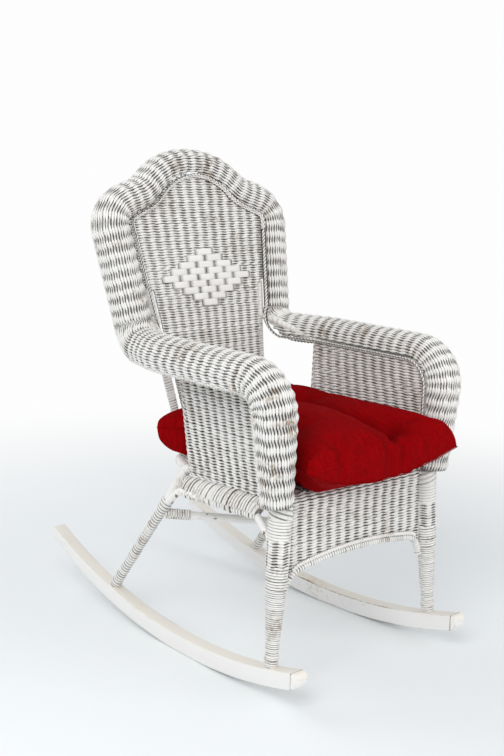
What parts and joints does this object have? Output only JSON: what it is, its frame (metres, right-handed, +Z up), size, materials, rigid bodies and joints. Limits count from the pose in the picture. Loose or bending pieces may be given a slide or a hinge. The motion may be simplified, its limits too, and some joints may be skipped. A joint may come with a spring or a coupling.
{
  "type": "rocking chair",
  "caption": "Painted wicker rocking chair with a rolled collar over arms and back, crossed stretchers, bent rockers and a loose seat cushion.",
  "frame": {"origin": "on the floor under the middle of the overall box: midway between the rockers' tips and between the sides, at the height of the treads' lowest line", "axes": "+Z up, -Y towards the front of the chair, +X towards the sitter's left"},
  "size_m": [0.5912, 0.8946, 1.0674],
  "materials": {
    "woven_reed": "satin",
    "braided_reed": "satin",
    "wound_cane": "satin",
    "painted_pole": "satin",
    "painted_rocker": "satin",
    "flat_splint": "satin",
    "nail_steel": "satin",
    "cushion_cloth": "matte"
  },
  "bodies": {
    "chair": {"rocker_left": "painted_rocker", "rocker_right": "painted_rocker", "front_leg_left": "wound_cane", "front_leg_right": "wound_cane", "rear_leg_left": "wound_cane", "rear_leg_right": "wound_cane", "leg_sleeve_left": "woven_reed", "leg_sleeve_right": "woven_reed", "seat_side_rail_left": "wound_cane", "seat_side_rail_right": "wound_cane", "side_arch_left": "wound_cane", "side_arch_right": "wound_cane", "arm_pole_left": "painted_pole", "arm_pole_right": "painted_pole", "side_panel_left": "woven_reed", "side_panel_right": "woven_reed", "arm_roll_left": "woven_reed", "arm_roll_right": "woven_reed", "arm_braid_left": "braided_reed", "arm_braid_right": "braided_reed", "arm_rim_left": "braided_reed", "arm_rim_right": "braided_reed", "rocker_nails": "nail_steel", "seat_front_rail": "wound_cane", "seat_rear_rail": "painted_pole", "seat_deck": "woven_reed", "seat_slats": "painted_pole", "stretcher_upper": "painted_pole", "stretcher_lower": "painted_pole", "joint_bindings": "wound_cane", "apron_arch": "wound_cane", "apron_panel": "woven_reed", "back_hoop": "painted_pole", "back_panel": "woven_reed", "back_diamond": "flat_splint", "back_roll": "woven_reed", "back_braid": "braided_reed", "back_rim": "braided_reed"},
    "cushion": {"cushion": "cushion_cloth", "cushion_tufts": "cushion_cloth"}
  },
  "joints": [
    {"name": "cushion_lift", "type": "slide", "parent": "chair", "child": "cushion", "axis": [0, 0, 1], "range_m": [0, 0.1]}
  ]
}
